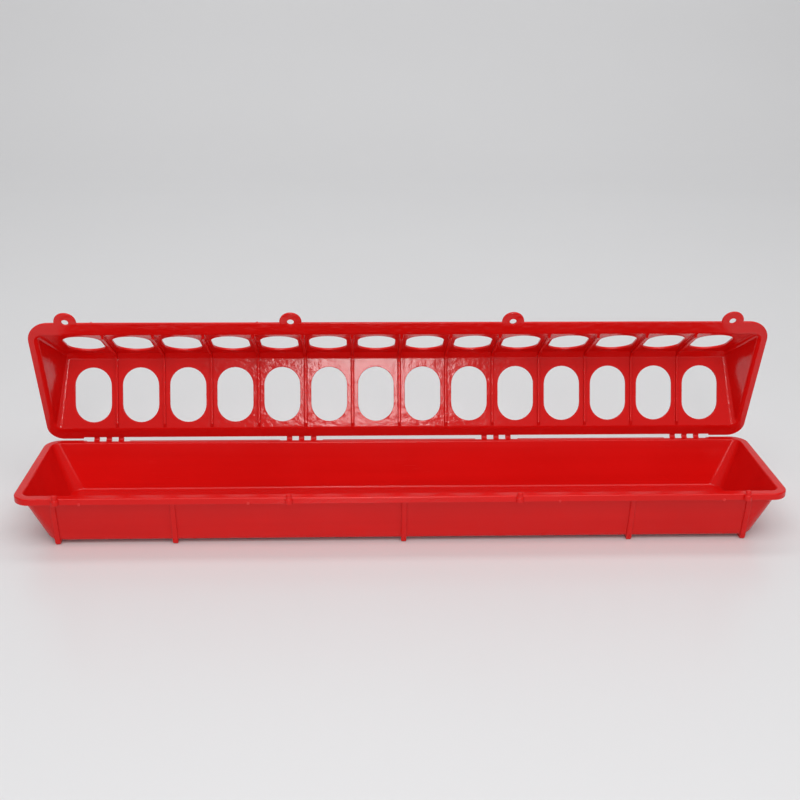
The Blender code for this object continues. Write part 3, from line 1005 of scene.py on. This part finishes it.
    def build_pegs(self) -> None:
        """Four latch pegs on bosses at the front of the rim."""
        boss = self.peg_radius + self.boss_wall
        stem = self.peg_radius
        low = self.rim_height - self.lip_drop + self.boss_lift
        rim = self.rim_height
        top = self.peg_top
        boss_foot = [(boss * 0.4, low), (boss * 0.72, low + 0.05 * MM), (boss * 0.93, low + 0.35 * MM)]
        boss_side = [(boss, low + 0.9 * MM), (boss, rim - 1.1 * MM)]
        shoulder = [(boss * 0.97, rim - 0.7 * MM), (boss * 0.86, rim - 0.35 * MM)]
        stem_side = [(stem * 1.03, rim - 0.1 * MM), (stem, rim + 0.4 * MM), (stem, top - 0.8 * MM)]
        tip = [(stem * 0.92, top - 0.35 * MM), (stem * 0.7, top - 0.08 * MM), (stem * 0.35, top)]
        profile = boss_foot + boss_side + shoulder + stem_side + tip
        peg = link_object("peg", turned("peg", profile, 32))
        first, step = front_stations(self.half_length)
        first = first + Vector((0, -self.half_width - self.peg_overhang, 0))
        pegs = self.repeat.row("latch_pegs", peg, LATCHES, first, step, self.finish)
        dress(pegs, self.finish)
        keep(pegs, Body.TRAY, "tray_plastic", "tray")

    def build_gate_marks(self, finish: bpy.types.Material) -> None:
        """Small round marks on the lip, where the plastic was fed into the mould."""
        button = [(0.95 * MM, -0.3 * MM), (0.95 * MM, 0.12 * MM), (0.8 * MM, 0.3 * MM)]
        dimple = [(0.5 * MM, 0.38 * MM), (0.42 * MM, 0.22 * MM), (0.15 * MM, 0.2 * MM)]
        profile = button + dimple
        mark = link_object("mark", turned("mark", profile, 20))
        mark.data.transform(Matrix.Rotation(math.radians(90), 4, "X"))
        centre = Vector((0, -self.half_width, self.rim_height - self.lip_drop * self.gate_drop))
        mark.data.transform(Matrix.Translation(centre))
        marks = self.repeat.stations("tray_gate_marks", mark, self.gate_inner_station,
                                     self.gate_outer_station, finish=finish)
        dress(marks, finish)
        keep(marks, Body.TRAY, "tray_plastic", "tray")

    def build(self, mark_finish: bpy.types.Material) -> None:
        """Build every piece of the tray."""
        self.build_shell()
        self.build_ribs()
        self.build_pegs()
        self.build_gate_marks(mark_finish)


def strap_group_stations() -> tuple[float, float]:
    """The middle of the inner and of the outer groups of hinge straps, from the CAD straps."""
    boxes = [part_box("hinge_strap_%02d" % number) for number in MIDDLE_STRAPS]
    inner, outer = ((low.x + high.x) / 2 for low, high in boxes)
    return inner, outer


@dataclass
class Lid:
    """The gable lid: flange, panels with feeding holes, inner ribs, latch ears and gate nubs."""

    repeat: Repeater
    finish: bpy.types.Material
    edge: HingeEdge
    hinge: Hinge
    half_length: float
    half_width: float
    wall: float = LID_WALL
    height: float = 30.6 * MM
    ridge_width: float = 5.4 * MM
    side_flange: float = 9.4 * MM
    end_flange: float = 6 * MM
    end_lean: float = 8.7 * MM
    free_radius: float = 15 * MM
    hinge_radius: float = 11 * MM
    foot_radius: float = 6 * MM
    edge_offset: float = AXIS_INSET
    gap: float = AXIS_GAP
    cap_inset: float = 1.3 * MM
    ridge_fillet: float = 1.6 * MM
    panel_fillet: float = 3.2 * MM
    flange_low_edge: float = 0.45 * MM
    flange_top_edge: float = 0.6 * MM
    outer_panel_fillet: float = 1.8 * MM
    outer_ridge_fillet: float = 3.0 * MM
    outer_ridge_growth: float = 1.4 * MM
    hole_half_width: float = 12.65 * MM
    hole_half_length: float = 19.3 * MM
    hole_round: float = 0.45 * MM
    hole_steps: int = 16
    rib: RibSection = RibSection(width=1.8 * MM, crest_round=0.45 * MM, flare=0.5 * MM, sink=0.5 * MM)
    rib_height: float = 2.2 * MM
    rib_lift: float = 0.5 * MM
    ear_radius: float = 7.4 * MM
    ear_edge: float = 0.5 * MM
    ear_edge_steps: int = 4
    ear_thinning: float = 0.04 * MM
    ear_bore: float = 2.3 * MM
    ear_bore_edge: float = 0.3 * MM
    ear_bore_steps: int = 28
    ear_overhang: float = 0.6 * MM
    nub_stations: tuple[float, float] = (-205 * MM, -96 * MM)

    def centre_y(self) -> float:
        """The shut lid's middle, from the hinge axis."""
        return -(self.edge_offset + self.half_width)

    def ridge_z(self) -> float:
        """Height of the ridge's inner face."""
        return self.gap + self.height

    def panel_foot(self) -> float:
        """How far out the panels meet the flange."""
        return self.half_width - self.side_flange

    def slope(self) -> float:
        """The panels' slope."""
        return math.atan2(self.height, self.panel_foot() - self.ridge_width / 2)

    def hoops(self) -> list[Hoop]:
        """The profile, from the inner ridge out round the flange and up to the outer ridge."""
        foot_x = self.half_length - self.end_flange
        ridge_x = foot_x - self.end_lean
        grow_x = self.wall * math.tan(math.atan2(self.height, self.end_lean) / 2)
        grow_y = self.wall * math.tan(self.slope() / 2)
        ridge_y = self.ridge_width / 2
        ridge_radius = self.ridge_width / 3
        top_z = self.gap + self.wall
        outer_z = self.ridge_z() + self.wall
        outer_radius = ridge_radius + self.outer_ridge_growth
        cap_y = ridge_y - self.cap_inset
        cap_x = ridge_x - self.cap_inset
        cap_radius = ridge_radius - self.cap_inset
        foot_y = self.panel_foot()
        foot = self.foot_radius
        half_y = self.half_width
        half_x = self.half_length
        return [
            Hoop(cap_y, cap_x, self.ridge_z(), 0, cap_radius, cap_radius),
            Hoop(ridge_y, ridge_x, self.ridge_z(), self.ridge_fillet, ridge_radius, ridge_radius),
            Hoop(foot_y, foot_x, self.gap, self.panel_fillet, foot, foot),
            Hoop(half_y, half_x, self.gap, self.flange_low_edge, self.free_radius, self.hinge_radius),
            Hoop(half_y, half_x, top_z, self.flange_top_edge, self.free_radius, self.hinge_radius),
            Hoop(foot_y + grow_y, foot_x + grow_x, top_z, self.outer_panel_fillet,
                 foot + grow_y, foot + grow_y),
            Hoop(ridge_y + grow_y, ridge_x + grow_x, outer_z, self.outer_ridge_fillet,
                 outer_radius, outer_radius),
            Hoop(cap_y, cap_x, outer_z, 0, cap_radius, cap_radius),
        ]

    def hole_outline(self, along: Vector) -> Callable[[float], list[Vector]]:
        """An upright slot with round ends, in the plane of X and a direction."""
        def outline(growth: float) -> list[Vector]:
            """The slot's points."""
            radius = self.hole_half_width + growth
            straight = self.hole_half_length - self.hole_half_width
            points = []
            for end, start in ((1, 0), (-1, 180)):
                for step in range(self.hole_steps + 1):
                    turn = math.radians(start + 180 * step / self.hole_steps)
                    reach = end * straight + radius * math.sin(turn)
                    points.append(Vector((radius * math.cos(turn), 0, 0)) + along * reach)
            return points
        return outline

    def row_centres(self, row: str) -> list[Vector]:
        """The middles of one row's holes on the shut lid, from the openings that the record states."""
        shut = self.hinge.opened().inverted()
        name = "feeding_hole_" + row
        openings = frame["record"]["physics"]["openings"]
        boxes = [opening["box_m"] for opening in openings if opening["name"].startswith(name)]
        return [shut @ ((Vector(low) + Vector(high)) / 2) for low, high in boxes]

    def cut_holes(self, shell: bpy.types.Object) -> None:
        """Cut both rows of feeding holes."""
        slope = self.slope()
        for row, side in (("hinge_row", 1), ("free_row", -1)):
            along = Vector((0, -side * math.cos(slope), math.sin(slope)))
            normal = Vector((0, side * math.sin(slope), math.cos(slope)))
            cutter = lipped_cutter("hole", self.hole_outline(along), normal, self.wall / 2, self.hole_round)
            centres = self.row_centres(row)
            step = (centres[-1] - centres[0]) / (len(centres) - 1)
            cutters = self.repeat.row(row + "_cutters", cutter, len(centres), centres[0], step)
            carve(shell, cutters, Operation.CUT)

    def add_ears(self, shell: bpy.types.Object) -> None:
        """Join the latch ears to the free edge, and bore them.

        The ears are a little thinner than the flange, because a union of level faces comes out torn.
        """
        middle = self.gap + self.wall / 2
        half = self.wall / 2 - self.ear_thinning
        edge = self.ear_edge
        profile = [(self.ear_radius - edge, -half)]
        for step in range(1, self.ear_edge_steps + 1):
            turn = math.pi / 2 * step / self.ear_edge_steps
            reach = self.ear_radius - edge * (1 - math.sin(turn))
            profile.append((reach, -half + edge * (1 - math.cos(turn))))
        profile += [(reach, -height) for reach, height in profile[::-1]]
        first, step = front_stations(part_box("tray")[1].x)
        place = Vector((0, self.centre_y() - self.half_width - self.ear_overhang, middle))
        ear = link_object("ear", turned("ear", profile, 48))
        carve(shell, self.repeat.row("ears", ear, LATCHES, first + place, step), Operation.JOIN)

        def circle(growth: float) -> list[Vector]:
            """The bore's outline."""
            steps = self.ear_bore_steps
            turns = [2 * math.pi * index / steps for index in range(steps)]
            bore = self.ear_bore + growth
            return [Vector((bore * math.cos(turn), bore * math.sin(turn), 0)) for turn in turns]

        bore = lipped_cutter("bore", circle, Vector((0, 0, 1)), self.wall / 2, self.ear_bore_edge)
        carve(shell, self.repeat.row("bores", bore, LATCHES, first + place, step), Operation.CUT)

    def build_shell(self) -> None:
        """The lid itself."""
        rings = hooped_rings(self.hoops(), self.centre_y())
        shell = link_object("lid_moulding", skin("lid_moulding", rings))
        self.cut_holes(shell)
        self.add_ears(shell)
        middle_z = self.gap + self.wall / 2
        relief = lipped_cutter("flange_relief", self.edge.relief_outline(-self.edge_offset, middle_z),
                               Vector((0, 0, 1)), self.wall / 2, self.edge.round_edge)
        carve(shell, relief, Operation.CUT)
        self.open_and_keep(shell, self.finish, "lid")

    def open_and_keep(self, piece: bpy.types.Object, finish: bpy.types.Material,
                      *stands_for: str) -> None:
        """Turn a piece from the shut to the open position, dress it and hand it over."""
        piece.data.transform(self.hinge.opened())
        dress(piece, finish)
        keep(piece, Body.LID, "lid_plastic", *stands_for)

    def build_ribs(self) -> None:
        """A thin rib inside the lid between each pair of holes."""
        centre = self.centre_y()
        slope = self.slope()
        low = self.gap + self.rib_lift

        def at(z: float, inward: float) -> float:
            """How far from the middle a line along the panel lies at a height."""
            return self.panel_foot() - (z - self.gap) / math.tan(slope) - inward / math.sin(slope)

        crest_z = self.ridge_z() - self.rib_height
        foot_half = [(at(low, 0), low), (self.ridge_width / 2, self.ridge_z())]
        crest_half = [(at(low, self.rib_height), low), (at(crest_z, self.rib_height), crest_z)]

        def whole(half: list[tuple[float, float]]) -> list[Vector]:
            """A line and its mirror image, about the lid's middle."""
            return [Vector((0, centre + y, z)) for y, z in half + [(-y, z) for y, z in half[::-1]]]

        foot = whole(foot_half)
        crest = whole(crest_half)
        rib = link_object("rib", self.rib.sweep("rib", foot, crest))
        centres = self.row_centres("hinge_row")
        step = Vector(((centres[-1].x - centres[0].x) / (len(centres) - 1), 0, 0))
        first = Vector((centres[0].x, 0, 0)) + step / 2
        ribs = self.repeat.row("lid_ribs", rib, len(centres) - 1, first, step, self.finish)
        self.open_and_keep(ribs, self.finish, "lid")

    def build_nubs(self, finish: bpy.types.Material) -> None:
        """Small broken-off gate nubs on the free edge."""
        stub = [(0.75 * MM, -0.4 * MM), (0.7 * MM, 0.35 * MM)]
        torn_end = [(0.5 * MM, 0.5 * MM), (0.2 * MM, 0.42 * MM)]
        profile = stub + torn_end
        nub = link_object("nub", turned("nub", profile, 16))
        nub.data.transform(Matrix.Rotation(math.radians(90), 4, "X"))
        start, end = self.nub_stations
        first = Vector((start, self.centre_y() - self.half_width, self.gap + self.wall / 2))
        nubs = self.repeat.row("lid_gate_nubs", nub, 2, first, Vector((end - start, 0, 0)), finish)
        self.open_and_keep(nubs, finish, "lid")

    def build(self, mark_finish: bpy.types.Material) -> None:
        """Build every piece of the lid."""
        self.build_shell()
        self.build_ribs()
        self.build_nubs(mark_finish)


@dataclass
class HingeStraps:
    """The thin straps that join the tray's rim to the lid's flange."""

    repeat: Repeater
    finish: bpy.types.Material
    edge: HingeEdge
    hinge: Hinge
    half_width: float
    rim_height: float
    tray_wall: float = TRAY_WALL
    lid_wall: float = LID_WALL
    lid_gap: float = AXIS_GAP
    edge_offset: float = AXIS_INSET
    piece_gap: float = 0.3 * MM
    width: float = 4 * MM
    thickness: float = 0.7 * MM
    pitch: float = 8.6 * MM
    per_group: int = 3
    root: float = 0.8 * MM
    round_edge: float = 0.22 * MM
    edge_steps: int = 3
    steps: int = 18

    def ends(self) -> tuple[Vector, Vector, Vector]:
        """Where a strap leaves the tray, where it reaches the lid, and its heading there."""
        start_y = self.half_width - self.edge.relief - self.edge.notch + self.piece_gap
        start = Vector((0, start_y, self.rim_height - self.tray_wall / 2))
        reach = self.edge_offset + self.edge.relief - self.piece_gap
        opened = self.hinge.opened()
        end = opened @ Vector((0, -reach, self.lid_gap + self.lid_wall / 2))
        heading = opened.to_3x3() @ Vector((0, -1, 0))
        return start, end, heading

    def path(self) -> list[tuple[Vector, Vector]]:
        """The middle line, rooted a little way into both mouldings.

        Returns:
            Points, each with the heading there.
        """
        start, end, heading = self.ends()
        pull = (end - start).length / 2
        forward = Vector((0, 1, 0))
        controls = (start, start + forward * pull, end - heading * pull, end)
        points = [start - forward * self.root]
        for step in range(self.steps + 1):
            share = step / self.steps
            rest = 1 - share
            weights = (rest ** 3, 3 * rest ** 2 * share, 3 * rest * share ** 2, share ** 3)
            pulls = (control * weight for control, weight in zip(controls, weights))
            points.append(sum(pulls, Vector()))
        points.append(end + heading * self.root)
        line = []
        for index, point in enumerate(points):
            before = points[max(index - 1, 0)]
            after = points[min(index + 1, len(points) - 1)]
            line.append((point, (after - before).normalized()))
        return line

    def section(self) -> list[tuple[float, float]]:
        """A flat bar with round edges: distances across and through the strap."""
        half_width = self.width / 2 - self.round_edge
        half_depth = self.thickness / 2 - self.round_edge
        points = []
        for side_x, side_y, start in ((1, 1, 0), (-1, 1, 90), (-1, -1, 180), (1, -1, 270)):
            for step in range(self.edge_steps + 1):
                turn = math.radians(start + 90 / self.edge_steps * step)
                across = side_x * half_width + self.round_edge * math.cos(turn)
                points.append((across, side_y * half_depth + self.round_edge * math.sin(turn)))
        return points

    def build(self) -> None:
        """Build the straps, shaped as a fixed curve from the tray to the lid."""
        rings = []
        for point, heading in self.path():
            through = Vector((0, heading.z, -heading.y))
            rings.append([point + Vector((across, 0, 0)) + through * depth
                          for across, depth in self.section()])
        strap = link_object("strap", skin("strap", rings))
        inner, outer = strap_group_stations()
        straps = self.repeat.stations("hinge_straps", strap, inner, outer, self.per_group, self.pitch,
                                      finish=self.finish)
        straps.data.materials.clear()
        straps.data.materials.append(self.finish)
        straps.data.shade_smooth()
        start, end, _ = self.ends()
        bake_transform(straps)
        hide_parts(*[name for name in frame["nodes"] if name.startswith("hinge_strap")])
        LOG.info("%s: %d faces, bends across the hinge", straps.name, len(straps.data.polygons))


@dataclass(frozen=True)
class Softbox:
    """A rectangular soft light: where it stands, what it points at, its size and its watts."""

    name: str
    place: tuple[float, float, float]
    aim: tuple[float, float, float]
    size: tuple[float, float]
    power: float

    def build(self) -> None:
        """Put the light in the scene."""
        data = bpy.data.lights.new(self.name, "AREA")
        data.shape = "RECTANGLE"
        data.size, data.size_y = self.size
        data.energy = self.power
        place = Vector(self.place)
        turn = (Vector(self.aim) - place).to_track_quat("-Z", "Y")
        light = bpy.data.objects.new(self.name, data)
        light.matrix_world = Matrix.Translation(place) @ turn.to_matrix().to_4x4()
        bpy.context.scene.collection.objects.link(light)


@dataclass
class Studio:
    """The paper sweep, the soft lights and the camera."""

    finish: bpy.types.Material
    sweep_half: float = 3.0
    sweep_front: float = -3.0
    sweep_bend: float = 1.3
    sweep_radius: float = 0.9
    sweep_wall: float = 2.5
    sweep_steps: int = 16
    sky: float = 0.28
    overhead: Softbox = Softbox("overhead", (0.1, -1.0, 1.8), (0, 0, 0.06), (2.4, 1.4), 25.0)
    backdrop: Softbox = Softbox("backdrop", (0, 0.9, 2.4), (0, 2.1, 0.6), (3.0, 1.0), 19.5)
    window: Softbox = Softbox("window", (-0.012, -1.42, 0.69), (-0.03, 0.056, 0.4), (0.24, 0.50), 5.2)
    lens: float = 55.18
    camera_place: tuple[float, float, float] = (-0.0317, -0.7671, 0.3609)
    yaw: float = 0.03922
    pitch: float = 0.34569
    roll: float = -0.00852

    def build_sweep(self) -> None:
        """A floor that curves up into a backdrop."""
        line = [Vector((0, self.sweep_front, 0)), Vector((0, self.sweep_bend, 0))]
        for step in range(1, self.sweep_steps + 1):
            turn = math.pi / 2 * step / self.sweep_steps
            back = self.sweep_radius * math.sin(turn)
            rise = self.sweep_radius * (1 - math.cos(turn))
            line.append(Vector((0, self.sweep_bend + back, rise)))
        line.append(line[-1] + Vector((0, 0, self.sweep_wall)))
        bm = bmesh.new()
        rows = []
        for point in line:
            ends = [point + Vector((side * self.sweep_half, 0, 0)) for side in (-1, 1)]
            rows.append([bm.verts.new(end) for end in ends])
        for low, high in zip(rows, rows[1:]):
            bm.faces.new((low[0], low[1], high[1], high[0]))
        mesh = bpy.data.meshes.new("paper_sweep")
        bm.to_mesh(mesh)
        bm.free()
        mesh.shade_smooth()
        mesh.materials.append(self.finish)
        link_object("paper_sweep", mesh)

    def build_lights(self) -> None:
        """An even sky, a large light overhead, one on the backdrop and a window behind the camera."""
        world = bpy.data.worlds.new("studio")
        world.use_nodes = True
        background = world.node_tree.nodes["Background"]
        background.inputs["Color"].default_value = (1.0, 1.0, 1.0, 1.0)
        background.inputs["Strength"].default_value = self.sky
        bpy.context.scene.world = world
        for light in (self.overhead, self.backdrop, self.window):
            light.build()

    def build_camera(self) -> None:
        """The camera, level but for a slight roll."""
        sin_yaw = math.sin(self.yaw)
        cos_yaw = math.cos(self.yaw)
        level = math.cos(self.pitch)
        forward = Vector((sin_yaw * level, cos_yaw * level, -math.sin(self.pitch)))
        right = Vector((cos_yaw, -sin_yaw, 0))
        down = forward.cross(right)
        turned_right = right * math.cos(self.roll) + down * math.sin(self.roll)
        turned_down = down * math.cos(self.roll) - right * math.sin(self.roll)
        turn = Matrix((turned_right, -turned_down, -forward)).transposed()
        data = bpy.data.cameras.new("camera")
        data.lens = self.lens
        data.sensor_width = 36.0
        data.clip_end = 50.0
        camera = bpy.data.objects.new("camera", data)
        camera.matrix_world = Matrix.Translation(self.camera_place) @ turn.to_4x4()
        bpy.context.scene.collection.objects.link(camera)
        bpy.context.scene.camera = camera

    def build(self) -> None:
        """Build the studio."""
        self.build_camera()
        self.build_sweep()
        self.build_lights()
        bpy.context.scene.view_settings.view_transform = "Standard"


def main() -> None:
    """Build the studio and every piece of the feeder."""
    logging.basicConfig(level=logging.INFO, format="%(message)s")
    Studio(PaperSweep().material()).build()
    red = (0.73, 0.007, 0.006)
    deep = (0.66, 0.005, 0.004)
    pale = (0.72, 0.03, 0.025)
    tray_finish = MouldedPlastic("tray_red", red, deep, roughness=0.18, ior=1.34, seed=1.7)
    lid_finish = MouldedPlastic("lid_red", red, deep, roughness=0.13, mottle=0.2 * MM, seed=4.3)
    strap_finish = MouldedPlastic("strap_red", red, deep, roughness=0.34, ripple=0.08 * MM, seed=7.9)
    mark_finish = MouldedPlastic("gate_red", pale, red, roughness=0.4, ripple=0.0, seed=2.2)
    tray_red = tray_finish.material()
    lid_red = lid_finish.material()
    strap_red = strap_finish.material()
    mark_red = mark_finish.material()
    repeat = Repeater()
    edge = HingeEdge()
    hinge = Hinge()
    tray_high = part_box("tray")[1]
    lid_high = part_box("lid")[1]
    half_width = tray_high.y
    rim_height = hinge.axis.z - AXIS_GAP
    Tray(repeat, tray_red, edge, tray_high.x, half_width, rim_height).build(mark_red)
    Lid(repeat, lid_red, edge, hinge, lid_high.x, half_width).build(mark_red)
    HingeStraps(repeat, strap_red, edge, hinge, half_width, rim_height).build()


if __name__ == "__main__":
    main()
